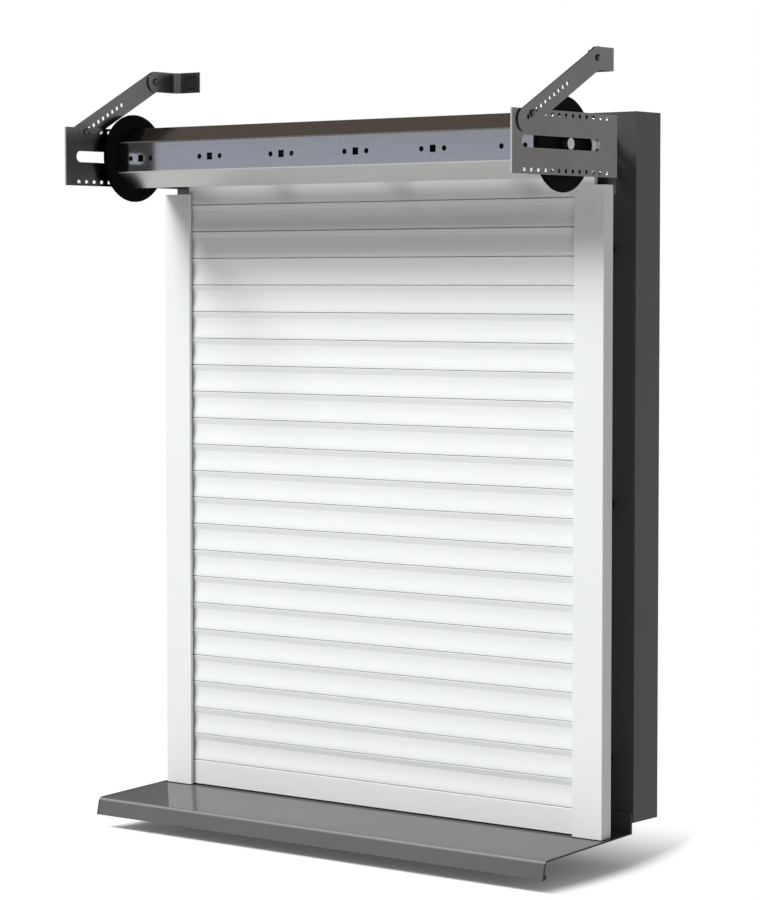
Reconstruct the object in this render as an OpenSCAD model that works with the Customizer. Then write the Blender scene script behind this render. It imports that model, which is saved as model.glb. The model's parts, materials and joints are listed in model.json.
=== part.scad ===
// Exterior roller shutter: slatted curtain in two guide rails, hexagonal winding tube
// with a tubular motor, slotted wall brackets with folding arms, sill and rear frame.
// X runs to the right, Y into the wall and Z up. The origin is the middle of the back
// face of the frame's bottom rail.

/* [Curtain] */
// Height of one slat from joint to joint
slat_pitch = 37; // [36:0.5:40]
// Number of slats above the bottom bar
slat_count = 23; // [16:1:24]
// Slats that stand above the guide rails when the shutter is closed
slats_above = 2; // [1:1:3]
// Overall thickness of a slat
slat_t = 8; // [7.5:0.1:9]
// Length of a slat
slat_len = 674; // [672:1:676]
// Sideways play that the curtain has taken up to the right
curtain_shift = 9.6; // [0:0.1:12]
// Wall thickness of a slat and of the bottom bar
slat_wall = 1; // [0.8:0.1:1.2]
// Radius of the rounded nose along a slat's lower edge
nose_r = 26; // [22:1:30]
// Height of the nose's foremost line above the joint
nose_rise = 2.3; // [1.8:0.1:2.8]
// Radius of the hollow front face of a slat
face_r = 70; // [66:1:80]
// Lean of the hollow face where it runs into the nose, in degrees
face_lean = 11; // [9:0.5:12]
// Height of the flat band at the top of a slat
band_h = 8.6; // [8:0.2:10]
// Forward lean of the flat band, in degrees
band_lean = 13.5; // [10:0.5:15]
// Chamfer along the upper edge of the band
band_edge = 0.5; // [0.3:0.1:0.8]
// Radius of the convex back of a slat
back_r = 120; // [100:5:160]
// Open joint between two slats
joint_gap = 1; // [0.8:0.1:1.4]
// Radius of the bead that hangs one slat in the next
bead_r = 1.5; // [1.3:0.1:1.6]
// Height of the bead above the joint
bead_rise = 4.4; // [4.2:0.1:5]
// Depth of the bead behind the slat's nose
bead_depth = 4.6; // [4.4:0.1:4.8]
// Clearance round the bead in its socket
bead_clear = 0.3; // [0.2:0.05:0.4]
// Thickness of the neck under the bead
neck_t = 1; // [0.8:0.1:1.2]
// Thickness of the clip on a slat's end
clip_t = 4; // [3:0.1:4.5]
// Height of the bottom bar up to its joint
bar_h = 33.5; // [30:0.1:45]
// Rounding of the bottom bar's upper front edge
bar_round = 1.2; // [0.8:0.1:2]
// Height of the rubber seal below the bottom bar
seal_h = 2; // [1:0.1:3]
// Width of the slot that holds the seal
seal_w = 5; // [4:0.1:5.5]
// Height of the slot that holds the seal, with its mouth
seal_root = 3; // [2.5:0.1:4]
// Clearance of the seal in its slot
seal_slack = 0.2; // [0.1:0.05:0.3]

/* [Guide rails] */
// Width over both guide rails
rails_w = 740.9; // [738:0.1:744]
// Width of a rail's front face
rail_face = 46; // [44:0.5:50]
// Wall thickness of a rail
rail_wall = 1.6; // [1.4:0.1:2]
// Depth of the front lip that holds the outer brush
front_lip = 5; // [4.6:0.1:7]
// Depth of the rear lip that holds the inner brush
rear_lip = 6.3; // [5.2:0.1:8]
// Width of both lips
lip_w = 7; // [6.4:0.1:9]
// Clearance between the curtain and a lip
lip_clear = 0.7; // [0.5:0.1:1]
// Depth of the groove that guides the curtain
groove_depth = 33.6; // [33:0.1:35]
// Width of the brush backing
brush_w = 4; // [3.4:0.1:4.4]
// Height of the brush backing
brush_root = 2.4; // [2:0.1:2.6]
// Thickness of the lip in front of the brush backing
brush_mouth = 1; // [0.8:0.1:1.4]
// Width of the brush hair
hair_w = 2; // [1.6:0.1:2.4]
// Clearance of a brush in its slot
brush_slack = 0.15; // [0.1:0.05:0.25]
// How far a rail reaches above the last joint inside it
rail_lead = 14.8; // [10:0.2:20]
// Clear space between the rails and the rear frame
rail_gap = 39.7; // [30:0.1:60]

/* [Rear frame] */
// Depth of the rear frame
frame_d = 55.7; // [50:0.1:70]
// Width of a jamb and height of the bottom rail
frame_face = 45; // [44:0.5:52]
// How far the frame reaches past the rails on each side
frame_side = 7.4; // [6.8:0.1:12]
// How far the frame reaches above the rails
frame_rise = 93.6; // [90:0.2:110]
// Height of the frame's bottom edge above the curtain's lowest point
frame_lift = 15; // [12:0.5:20]
// Wall thickness of the frame profiles
frame_wall = 2.5; // [2:0.1:3.5]
// Thickness of the head plate across the top
head_t = 6; // [5:0.5:10]

/* [Sill] */
// Sheet thickness of the sill
sill_t = 1.5; // [1.2:0.1:2.5]
// How far the sill reaches in front of the rails
sill_reach = 128.5; // [110:0.5:160]
// Fall of the sill towards the front, in degrees
sill_fall = 2.3; // [2:0.1:4]
// Height of the front lip
sill_lip = 22.5; // [18:0.5:28]
// Forward lean of the front lip, in degrees
lip_lean = 10; // [4:1:14]
// Bend radius at the front edge
sill_bend = 4; // [3:0.5:6]
// Depth of the hem folded back under the lip
sill_hem = 5; // [4:0.5:8]
// Height of the hem's upturned edge
hem_rise = 4; // [3:0.5:6]
// How far the sill's ends stay inside the frame's sides
sill_in = 1.8; // [0:0.1:4]
// Height of the upstand against the frame
sill_upstand = 25; // [20:1:40]
// Sheet thickness of the strip that covers the upstand
cover_t = 1.5; // [1:0.1:2]
// Clearance of the cover strip above the upstand and the sill
cover_gap = 0.2; // [0.1:0.05:0.5]

/* [Winding tube] */
// Width of the hexagonal tube across its flats
tube_flats = 71.5; // [70:0.5:74]
// Wall thickness of the tube
tube_wall = 1.5; // [1.2:0.1:2]
// Outer rounding of the tube's edges
tube_round = 3; // [2.5:0.5:5]
// Distance of the tube's axis in front of the rails
tube_front = 74.4; // [72:0.2:80]
// Height of the tube's axis above the rails
tube_rise = 48.1; // [46:0.1:52]
// Diameter of the flange discs
disc_d = 119.4; // [112:0.2:121]
// Thickness of a flange disc
disc_t = 6; // [5.5:0.5:8]
// Gap between a disc and its bracket plate
disc_gap = 7.2; // [6:0.1:8]
// Rounding of a disc's rim
disc_round = 2.5; // [1:0.1:2.6]
// How deep the tube sits in a disc
tube_seat = 4; // [3:0.5:4.5]
// Number of punched groups along the front flat
punch_count = 6; // [3:1:6]
// Spacing of the punched groups
punch_pitch = 124.7; // [110:0.1:130]
// Side of the square hole in a group
punch_square = 9.3; // [7:0.1:11]
// Diameter of the two round holes in a group
punch_round = 7; // [5:0.1:8]
// Distance of the round holes from the square one
punch_side = 18; // [15:0.5:24]
// Sideways shift of the punched groups
punch_shift = -2.2; // [-5:0.1:5]
// How far the punched line lies below the middle of the flat
punch_drop = 1.9; // [0:0.1:4]
// Clearance of pieces pushed into the tube
plug_clear = 0.15; // [0.1:0.05:0.3]
// Radial clearance of a disc's bore round what passes through it
bore_clear = 1; // [0.5:0.1:2]
// Radial clearance of running fits
run_clear = 0.06; // [0.03:0.01:0.1]
// Number of hanger straps
strap_count = 3; // [2:1:3]
// Spacing of the hanger straps
strap_pitch = 200; // [150:5:250]
// Width of a hanger strap
strap_w = 20; // [15:1:30]
// Thickness of a hanger strap
strap_t = 1; // [0.8:0.1:1.5]
// Thickness of a hanger clip on the tube
hanger_t = 2.5; // [2:0.1:3]
// Width of a hanger clip along the flat
hanger_w = 12; // [10:0.5:14]

/* [Motor] */
// Diameter of the tubular motor
motor_d = 45; // [40:0.5:50]
// Length of the motor body
motor_len = 310; // [200:5:340]
// Diameter of the neck between the motor and its head
motor_neck = 30; // [24:0.5:34]
// Diameter of the motor head's flange
motor_flange = 50; // [44:0.5:56]
// Length of the crown and of the drive wheel
crown_len = 20; // [12:1:30]
// Diameter of the output shaft
shaft_d = 16; // [12:0.5:20]
// Length of the output shaft inside the motor
shaft_len = 12; // [8:0.5:16]
// Clearance between the turning pieces and the motor's end faces
motor_gap = 4; // [3:0.5:8]
// Length of the plug at the idle end
cap_len = 32; // [20:1:50]

/* [Brackets] */
// Length of a bracket plate
plate_len = 225.5; // [222:0.5:230]
// Height of a bracket plate
plate_h = 78.6; // [76:0.2:84]
// Sheet thickness of a bracket plate
plate_t = 2.5; // [2:0.1:3]
// How far the plate's outer face lies outside the rails
plate_side = 0.85; // [0.4:0.05:2]
// Distance of a plate's rear edge behind the rails' front faces
plate_back = 27.1; // [25.5:0.1:30]
// Height of the slot
slot_h = 15; // [14:0.2:18]
// Length of the slot
slot_len = 166.5; // [150:0.5:170]
// Distance of the slot from the plate's front edge
slot_start = 20.4; // [18:0.2:26]
// Clearance of a pin in the slot, all round
slot_clear = 0.25; // [0.1:0.05:0.4]
// Number of holes in each row
row_count = 13; // [8:1:13]
// Spacing of the holes in a row
row_pitch = 14.75; // [14:0.05:15]
// Distance of the first hole from the plate's front edge
row_start = 24.9; // [24:0.1:29]
// Distance of a row from the plate's edge
row_edge = 5.4; // [5:0.1:7]
// Diameter of the holes in a row
row_hole = 5.6; // [4.5:0.1:6]
// Height of the tab bent inwards at the plate's rear edge, above the tube's axis
tab_rise = 27; // [24:1:30]
// How far the tab hangs below the plate
tab_drop = 20; // [14:1:30]
// Length of the tab
tab_len = 40; // [39:0.5:44]
// Width of an arm
arm_w = 28.5; // [26:0.5:32]
// Sheet thickness of an arm
arm_t = 2; // [1.5:0.1:2.5]
// Distance from an arm's lower end centre to the foot rivet
arm_len = 176.4; // [170:0.2:180]
// Slope of an arm, in degrees
arm_slope = 28; // [26:0.2:31]
// Distance of the bolt from an arm's lower end centre
arm_lead = 18.1; // [17:0.1:20]
// Number of holes in an arm
arm_holes = 10; // [6:1:12]
// Spacing of the holes in an arm
arm_pitch = 10.43; // [10:0.01:11]
// Diameter of the holes in an arm
arm_hole = 6; // [5:0.1:6.4]
// Clearance between an arm and its neighbours
arm_gap = 0.2; // [0.15:0.05:0.3]
// Height of a foot
foot_h = 28.4; // [24:0.2:28.5]
// Sheet thickness of a foot
foot_t = 2; // [1.5:0.1:2.5]
// Distance from the rivet to the foot's wall face
foot_back = 46.5; // [46:0.5:52]
// Outer radius of a foot's bend
foot_bend = 12; // [8:0.5:14]
// Length of the leg along the wall
foot_leg = 43.5; // [38:0.5:44]
// Spacing of the wall holes along the wall
foot_hole_x = 8; // [7:0.1:10]
// Spacing of the wall holes in height
foot_hole_z = 15.5; // [14:0.1:16]
// Diameter of the wall holes
foot_hole = 4.5; // [4:0.1:5]
// Distance of the outer wall holes from the leg's end
foot_edge = 10; // [8:0.2:12]
// Diameter of the foot rivet's shank
rivet_d = 5.8; // [5:0.1:6]
// Height of a bolt or rivet head
head_rise = 1.2; // [0.8:0.1:2]
// How much wider than the hole a bolt or rivet head is
head_over = 1.6; // [1.2:0.1:2]

/* [Fixings] */
// Outer diameter of the distance sleeves
sleeve_d = 13; // [12:0.5:14]
// Diameter of the fixing screws
screw_d = 4; // [3.5:0.1:5]
// Clearance round a fixing screw
screw_clear = 0.2; // [0.1:0.05:0.3]
// Diameter of a screw head
screw_head_d = 8; // [7:0.1:9]
// Height of a screw head
screw_head_h = 2; // [1.5:0.1:2.4]
// Sleeves behind each rail
sleeve_rows = 3; // [2:1:4]
// Height of the lowest sleeve above the frame's bottom edge
sleeve_start = 80; // [60:1:120]
// Spacing of the two sleeves behind a bracket tab
tab_sleeves = 30; // [26:1:34]
// How far a fixing screw reaches into the jamb
screw_bite = 8; // [5:0.5:12]
// Distance of the sleeves from the jamb's inner edge
sleeve_in = 7.2; // [7:0.1:9]

/* [Hidden] */
$fn = 64;
// How far a cut runs past the face that it opens
over = 1;
// Gap at which a moving piece rests on a fixed one
seat = 0.3;

function slat_name(i) = str("slat_", i < 10 ? "0" : "", i);

// Slat profile: u is the depth behind the nose, v the height above the joint
nose_v = joint_gap / 2 + nose_rise;
meet_u = nose_r * (1 - cos(face_lean));
meet_v = nose_v + nose_r * sin(face_lean);
face_u = meet_u - face_r * cos(face_lean);
face_v = meet_v + face_r * sin(face_lean);
slat_top_v = slat_pitch - joint_gap / 2;
band_v = slat_pitch - band_h;
crease_u = face_u + sqrt(pow(face_r, 2) - pow(band_v - face_v, 2));
band_u = crease_u - (slat_top_v - band_edge - band_v) * tan(band_lean);
band_proud = max(0, -band_u);
socket_r = bead_r + bead_clear;
mouth_w = neck_t + 2 * bead_clear;
chamber_low_v = bead_rise + socket_r + slat_wall;

// Depth: from the frame's back face at 0 forward to the rails and the tube
frame_front_y = -frame_d;
rail_d = front_lip + band_proud + slat_t + 2 * lip_clear + rear_lip;
rail_back_y = frame_front_y - rail_gap;
rail_front_y = rail_back_y - rail_d;
nose_y = rail_front_y + front_lip + lip_clear + band_proud;
axis_y = rail_front_y - tube_front;
plate_rear_y = rail_front_y + plate_back;
plate_front_y = plate_rear_y - plate_len;

// Height: from the closed curtain's lowest point up to the tube and the frame's top
frame_bottom_z = -frame_face / 2;
base_z = frame_bottom_z - frame_lift;
bar_z = base_z + seal_h;
first_joint_z = bar_z + bar_h;
curtain_top_z = first_joint_z + slat_count * slat_pitch;
rail_top_z = first_joint_z + (slat_count - slats_above) * slat_pitch + rail_lead;
axis_z = rail_top_z + tube_rise;
frame_top_z = rail_top_z + frame_rise;
plate_top_z = axis_z + plate_h / 2;
plate_bottom_z = axis_z - plate_h / 2;

// Width: half widths measured from the middle
rail_out_x = rails_w / 2;
rail_in_x = rail_out_x - rail_face;
frame_out_x = rail_out_x + frame_side;
frame_in_x = frame_out_x - frame_face;
plate_out_x = rail_out_x + plate_side;
plate_in_x = plate_out_x - plate_t;
arm_in_x = plate_out_x + arm_gap;
disc_out_x = plate_in_x - disc_gap;
disc_in_x = disc_out_x - disc_t;
tube_end_x = disc_in_x + tube_seat;
sleeve_x = frame_in_x + sleeve_in;
slat_left_x = curtain_shift - slat_len / 2;
sill_out_x = frame_out_x - sill_in;

// Sill: a point on its upper face at depth y, and its middle line
sill_back_y = frame_front_y;
sill_front_y = rail_front_y - sill_reach;
function sill_z(y) = base_z - seat + (y - nose_y - slat_t / 2) * tan(sill_fall);

// Tube and motor
bore_flats = tube_flats - 2 * tube_wall;
bore_round = tube_round - tube_wall;
pin_d = slot_h - 2 * slot_clear;
motor_left_x = -disc_in_x + motor_gap;
motor_right_x = motor_left_x + motor_len;
crown_left_x = motor_left_x + motor_gap;
wheel_left_x = motor_right_x + motor_gap;

// Arms and feet, seen from the right-hand side: the bolt sits in the upper row's second hole
bolt_y = plate_front_y + row_start + row_pitch;
bolt_z = plate_top_z - row_edge;
arm_y = bolt_y - arm_lead * cos(arm_slope);
arm_z = bolt_z - arm_lead * sin(arm_slope);
rivet_y = arm_y + arm_len * cos(arm_slope);
rivet_z = arm_z + arm_len * sin(arm_slope);
foot_back_y = rivet_y + foot_back;

white = [0.93, 0.95, 0.93];
dark = [0.27, 0.27, 0.26];
steel = [0.52, 0.51, 0.5];
zinc = [0.62, 0.63, 0.68];
black = [0.07, 0.07, 0.07];

// Extrudes a profile drawn in depth and height along X, from x0 over a length
module along_x(x0, length) {
    translate([x0, 0, 0]) rotate([90, 0, 90]) linear_extrude(length) children();
}

// A cylinder along X from x0 over a length
module rod_x(x0, length, d) {
    translate([x0, 0, 0]) rotate([0, 90, 0]) cylinder(d = d, h = length);
}

// A cylinder along Y from y0 over a length
module rod_y(y0, length, d) {
    translate([0, y0, 0]) rotate([-90, 0, 0]) cylinder(d = d, h = length);
}

// Draws a right-hand piece on the right (1) or mirrored on the left (-1)
module on_side(side) {
    if (side > 0) children();
    else mirror([1, 0, 0]) children();
}

// Hexagon over its flats with rounded corners
module hexagon(flats, r) {
    inner = flats - 2 * r;
    side = inner / sqrt(3);
    for (a = [0:60:300]) rotate(a) {
        translate([0, -side / 2]) square([flats / 2, side]);
        rotate(30) translate([side, 0]) circle(r = r);
    }
}

module rounded_rect(w, d, r) {
    translate([r, 0]) square([w - 2 * r, d]);
    translate([0, r]) square([w, d - 2 * r]);
    for (x = [r, w - r], y = [r, d - r]) translate([x, y]) circle(r = r);
}

// Strip of sheet between two points of its middle line, with round ends
module sheet(a, b, t) {
    length = norm(b - a);
    translate(a) rotate(atan2(b[1] - a[1], b[0] - a[0])) {
        translate([0, -t / 2]) square([length, t]);
        circle(d = t);
        translate([length, 0]) circle(d = t);
    }
}

// Bent strip of sheet: a ring of middle radius r between two angles under 180 degrees apart
module bend(r, from, to, t) {
    reach = 2 * (r + t);
    mid = (from + to) / 2;
    intersection() {
        difference() {
            circle(r = r + t / 2);
            circle(r = r - t / 2);
        }
        polygon([[0, 0], reach * [cos(from), sin(from)], reach * [cos(mid), sin(mid)],
                 reach * [cos(to), sin(to)]]);
    }
}

// Bead on its neck, drawn from the joint upwards
module bead() {
    translate([bead_depth - neck_t / 2, -joint_gap / 2]) square([neck_t, bead_rise + joint_gap / 2]);
    translate([bead_depth, bead_rise]) circle(r = bead_r);
}

// Socket that takes the bead of the piece below
module socket() {
    translate([bead_depth, bead_rise]) circle(r = socket_r);
    translate([bead_depth - mouth_w / 2, -over]) square([mouth_w, bead_rise + over]);
}

// Rounded nose at the bottom, hollow face in the middle and flat band at the top
module slat_outline() {
    middle_v = (meet_v + band_v) / 2;
    intersection() {
        difference() {
            polygon([[-over, joint_gap / 2], [slat_t, joint_gap / 2], [slat_t, slat_top_v],
                     [band_u + band_edge, slat_top_v], [band_u, slat_top_v - band_edge],
                     [crease_u, band_v], [-over, middle_v]]);
            intersection() {
                translate([face_u, face_v]) circle(r = face_r, $fn = 180);
                translate([-slat_t, meet_v]) square([2 * slat_t, band_v - meet_v]);
            }
            difference() {
                translate([-slat_t, 0]) square([slat_t + meet_u, meet_v]);
                translate([nose_r, nose_v]) circle(r = nose_r, $fn = 180);
            }
        }
        translate([slat_t - back_r, slat_pitch / 2]) circle(r = back_r, $fn = 180);
    }
}

module slat_chamber() {
    intersection() {
        difference() {
            translate([0, chamber_low_v]) square([slat_t, slat_top_v - slat_wall - chamber_low_v]);
            translate([face_u, face_v]) circle(r = face_r + slat_wall, $fn = 180);
        }
        translate([slat_t - back_r, slat_pitch / 2]) circle(r = back_r - slat_wall, $fn = 180);
    }
}

// Slat number i, counted from the bottom bar
module slat(i) {
    color(white)
    translate([0, nose_y, first_joint_z + (i - 1) * slat_pitch])
    along_x(slat_left_x, slat_len) {
        difference() {
            slat_outline();
            socket();
            slat_chamber();
        }
        translate([0, slat_pitch]) bead();
    }
}

// Clips on both ends of every second slat, up to the one that leaves the rails
module slat_end_clips() {
    color(white)
    for (i = [2:2:slat_count - slats_above + 1], x = [slat_left_x - clip_t, slat_left_x + slat_len])
        translate([0, nose_y, first_joint_z + (i - 1) * slat_pitch])
        along_x(x, clip_t)
        intersection() {
            slat_outline();
            translate([0, chamber_low_v]) square([slat_t, slat_top_v - slat_wall - chamber_low_v]);
        }
}

// Flat extruded bar under the lowest slat, with a slot for its seal
module bottom_bar() {
    top = bar_h - joint_gap / 2;
    color(white)
    translate([0, nose_y, bar_z])
    along_x(slat_left_x, slat_len) {
        difference() {
            union() {
                square([slat_t, top - bar_round]);
                translate([bar_round, 0]) square([slat_t - bar_round, top]);
                translate([bar_round, top - bar_round]) circle(r = bar_round);
            }
            translate([slat_wall, seal_root + slat_wall])
                square([slat_t - 2 * slat_wall, top - seal_root - 2 * slat_wall - bar_round]);
            translate([(slat_t - seal_w) / 2, slat_wall]) square([seal_w, seal_root - slat_wall]);
            translate([(slat_t - seal_w) / 2 + slat_wall, -over])
                square([seal_w - 2 * slat_wall, slat_wall + 2 * over]);
        }
        translate([0, bar_h]) bead();
    }
}

// Rubber strip that hangs in the bar's slot and closes on the sill
module bottom_seal() {
    root = [(slat_t - seal_w) / 2 + seal_slack, (slat_t + seal_w) / 2 - seal_slack];
    neck = [root[0] + slat_wall, root[1] - slat_wall];
    foot = [slat_wall, slat_t - slat_wall];
    low = [for (u = foot) sill_z(nose_y + u) + seat - bar_z];
    color(black)
    translate([0, nose_y, bar_z])
    along_x(slat_left_x, slat_len)
    polygon([[foot[0], low[0]], [foot[1], low[1]], [foot[1], -seal_slack], [neck[1], -seal_slack],
             [neck[1], slat_wall + seal_slack], [root[1], slat_wall + seal_slack],
             [root[1], seal_root - seal_slack], [root[0], seal_root - seal_slack],
             [root[0], slat_wall + seal_slack], [neck[0], slat_wall + seal_slack],
             [neck[0], -seal_slack], [foot[0], -seal_slack]]);
}

// Guide rail in plan: x from the inner edge outwards, y from the front face backwards
module lip(depth) {
    difference() {
        rounded_rect(lip_w, depth, rail_wall / 2);
        translate([(lip_w - brush_w) / 2, depth - brush_mouth - brush_root]) square([brush_w, brush_root]);
        translate([(lip_w - hair_w) / 2 - brush_slack, depth - brush_mouth - over])
            square([hair_w + 2 * brush_slack, brush_mouth + 2 * over]);
    }
}

module rail_section() {
    difference() {
        rounded_rect(rail_face, rail_d, rail_wall);
        translate([-over, front_lip]) square([groove_depth + over, rail_d - front_lip - rear_lip]);
        translate([lip_w, rail_wall]) square([groove_depth - lip_w, rail_d - 2 * rail_wall]);
        translate([-over, -over]) square([lip_w + over, front_lip + over]);
        translate([-over, rail_d - rear_lip]) square([lip_w + over, rear_lip + over]);
        translate([groove_depth + rail_wall, rail_wall])
            square([rail_face - groove_depth - 2 * rail_wall, rail_d - 2 * rail_wall]);
    }
    lip(front_lip);
    translate([0, rail_d]) mirror([0, 1]) lip(rear_lip);
    translate([lip_w - rail_wall, 0]) square([2 * rail_wall, rail_wall]);
    translate([lip_w - rail_wall, rail_d - rail_wall]) square([2 * rail_wall, rail_wall]);
}

function sleeve_z(k) = frame_bottom_z + sleeve_start
    + k * (rail_top_z - frame_bottom_z - 2 * sleeve_start) / (sleeve_rows - 1);

module guide_rail(side) {
    color(white)
    on_side(side)
    difference() {
        translate([rail_in_x, rail_front_y, base_z - sill_t])
            linear_extrude(rail_top_z - base_z + sill_t) rail_section();
        translate([0, 0, seat]) along_x(rail_in_x - over, rail_face + 2 * over)
            polygon([for (p = [[rail_front_y - over, 0], [rail_back_y + over, 0],
                               [rail_back_y + over, -3 * sill_t], [rail_front_y - over, -3 * sill_t]])
                     [p[0], sill_z(p[0]) + p[1]]]);
        for (k = [0:sleeve_rows - 1]) translate([sleeve_x, 0, sleeve_z(k)])
            rod_y(rail_back_y - rail_wall - over, rail_wall + 2 * over, screw_d + 2 * screw_clear);
    }
}

// Brush strips in the four lips: backing in the slot and hair up to the curtain
module rail_brushes() {
    low = sill_z(rail_back_y) + seat;
    color(black)
    for (side = [1, -1], front = [true, false])
        on_side(side)
        translate([rail_in_x, front ? rail_front_y + front_lip : rail_back_y - rear_lip, low])
        mirror([0, front ? 0 : 1, 0])
        linear_extrude(rail_top_z - low) {
            translate([(lip_w - brush_w) / 2 + brush_slack, brush_slack - brush_mouth - brush_root])
                square([brush_w - 2 * brush_slack, brush_root - 2 * brush_slack]);
            translate([(lip_w - hair_w) / 2, -brush_mouth - brush_root / 2])
                square([hair_w, brush_root / 2 + brush_mouth + lip_clear - seat]);
        }
}

// Upright of the rear frame, hollow and closed at the top
module jamb(side) {
    color(dark)
    on_side(side)
    difference() {
        translate([frame_in_x, frame_front_y, frame_bottom_z])
            cube([frame_face, frame_d, frame_top_z - frame_bottom_z]);
        translate([frame_in_x + frame_wall, frame_front_y + frame_wall, frame_bottom_z - over])
            cube([frame_face - 2 * frame_wall, frame_d - 2 * frame_wall,
                  frame_top_z - frame_bottom_z - frame_wall + over]);
        for (z = concat([for (k = [0:sleeve_rows - 1]) sleeve_z(k)],
                        [for (s = [-1, 1]) axis_z + s * tab_sleeves / 2]))
            translate([sleeve_x, 0, z])
            rod_y(frame_front_y - over, frame_wall + 2 * over, screw_d + 2 * screw_clear);
    }
}

module frame_head() {
    color(dark)
    translate([-frame_in_x, frame_front_y, frame_top_z - head_t]) cube([2 * frame_in_x, frame_d, head_t]);
}

module frame_bottom() {
    color(dark)
    along_x(-frame_in_x, 2 * frame_in_x)
    translate([frame_front_y, frame_bottom_z])
    difference() {
        square([frame_d, frame_face]);
        translate([frame_wall, frame_wall]) square([frame_d - 2 * frame_wall, frame_face - 2 * frame_wall]);
    }
}

// Folded sill: upstand on the frame, sloping top, rounded front edge, lip and hem
module sill() {
    half = sill_t / 2;
    back = [sill_back_y - half, sill_z(sill_back_y) - half];
    front = [sill_front_y, sill_z(sill_front_y) - half];
    pivot = front + sill_bend * [sin(sill_fall), -cos(sill_fall)];
    turn = 180 - lip_lean;
    lip_top = pivot + sill_bend * [cos(turn), sin(turn)];
    lip_low = lip_top + (sill_lip - sill_bend) * [-sin(lip_lean), -cos(lip_lean)];
    hem = lip_low + sill_hem * [cos(lip_lean), 0];
    hem_top = hem + hem_rise * [sin(lip_lean), cos(lip_lean)];
    color([0.45, 0.45, 0.45])
    along_x(-sill_out_x, 2 * sill_out_x) {
        sheet(back, back + [0, sill_upstand], sill_t);
        sheet(back, front, sill_t);
        translate(pivot) bend(sill_bend, 90 + sill_fall, turn, sill_t);
        sheet(lip_top, lip_low, sill_t);
        sheet(lip_low, hem, sill_t);
        sheet(hem, hem_top, sill_t);
    }
}

// Dark strip over the sill's upstand, turned back to the frame along its top
module sill_cover() {
    y1 = sill_back_y - sill_t;
    y0 = y1 - cover_t;
    z0 = sill_z(sill_back_y) + cover_gap;
    z1 = z0 + sill_upstand + cover_t;
    color(dark)
    along_x(-sill_out_x, 2 * sill_out_x)
    polygon([[y0, z0], [y1, z0], [y1, z1 - cover_t], [sill_back_y, z1 - cover_t], [sill_back_y, z1], [y0, z1]]);
}

// Distance sleeve for a fixing screw between two depths
module sleeve(y0, y1) {
    difference() {
        rod_y(y0, y1 - y0, sleeve_d);
        rod_y(y0 - over, y1 - y0 + 2 * over, screw_d + 2 * screw_clear);
    }
}

module rail_sleeves() {
    color(black)
    for (side = [1, -1], k = [0:sleeve_rows - 1])
        translate([side * sleeve_x, 0, sleeve_z(k)]) sleeve(rail_back_y, frame_front_y);
}

module bracket_sleeves() {
    color(black)
    for (side = [1, -1], s = [-1, 1])
        translate([side * sleeve_x, 0, axis_z + s * tab_sleeves / 2]) sleeve(plate_rear_y, frame_front_y);
}

// Screw whose head rests at the given depth, through its sleeve into the jamb
module screw(seat_y) {
    rod_y(seat_y - screw_head_h, screw_head_h, screw_head_d);
    rod_y(seat_y - over / 2, frame_front_y + screw_bite - seat_y + over / 2, screw_d);
}

module fixing_screws() {
    color(steel)
    for (side = [1, -1]) {
        for (k = [0:sleeve_rows - 1])
            translate([side * sleeve_x, 0, sleeve_z(k)]) screw(rail_back_y - rail_wall);
        for (s = [-1, 1])
            translate([side * sleeve_x, 0, axis_z + s * tab_sleeves / 2]) screw(plate_rear_y - plate_t);
    }
}

// Round-ended slot in depth and height, starting at its front end
module slot_shape() {
    r = slot_h / 2;
    translate([r, 0]) circle(r = r);
    translate([slot_len - r, 0]) circle(r = r);
    translate([r, -r]) square([slot_len - 2 * r, slot_h]);
}

// Slotted and punched plate in the plane of the rail's outer side, with a tab bent inwards
module bracket_plate(side) {
    color(steel)
    on_side(side) {
        along_x(plate_in_x, plate_t)
        difference() {
            translate([plate_front_y, plate_bottom_z]) square([plate_len, plate_h]);
            translate([plate_front_y + slot_start, axis_z]) slot_shape();
            for (i = [0:row_count - 1]) translate([plate_front_y + row_start + i * row_pitch, 0]) {
                translate([0, plate_bottom_z + row_edge]) circle(d = row_hole);
                if (i != 1) translate([0, bolt_z]) circle(d = row_hole);
            }
            translate([bolt_y, bolt_z]) circle(d = arm_hole);
        }
        difference() {
            translate([plate_out_x - tab_len, plate_rear_y - plate_t, plate_bottom_z - tab_drop])
                cube([tab_len - plate_t, plate_t, axis_z + tab_rise - plate_bottom_z + tab_drop]);
            for (s = [-1, 1]) translate([sleeve_x, 0, axis_z + s * tab_sleeves / 2])
                rod_y(plate_rear_y - plate_t - over, plate_t + 2 * over, screw_d + 2 * screw_clear);
        }
    }
}

// Punched strip from the plate up to the foot
module arm(side) {
    r = arm_w / 2;
    color(steel)
    on_side(side)
    along_x(arm_in_x, arm_t)
    translate([arm_y, arm_z]) rotate(arm_slope)
    difference() {
        union() {
            circle(r = r);
            translate([arm_len, 0]) circle(r = r);
            translate([0, -r]) square([arm_len, arm_w]);
        }
        translate([arm_lead, 0]) circle(d = arm_hole + 2 * run_clear);
        for (i = [-1:arm_holes - 2]) if (i != 0)
            translate([arm_lead + i * arm_pitch, 0]) circle(d = arm_hole);
        translate([arm_len, 0]) circle(d = rivet_d + 2 * run_clear);
    }
}

// Bolt that pins an arm to its plate, with a flat head on both sides
module arm_bolt(side) {
    color(zinc)
    on_side(side)
    translate([0, bolt_y, bolt_z]) {
        rod_x(plate_in_x - head_rise, plate_t + 2 * arm_gap + arm_t + 2 * head_rise, arm_hole);
        rod_x(plate_in_x - head_rise, head_rise, arm_hole + 2 * head_over);
        rod_x(arm_in_x + arm_t + arm_gap, head_rise, arm_hole + head_over);
    }
}

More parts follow.
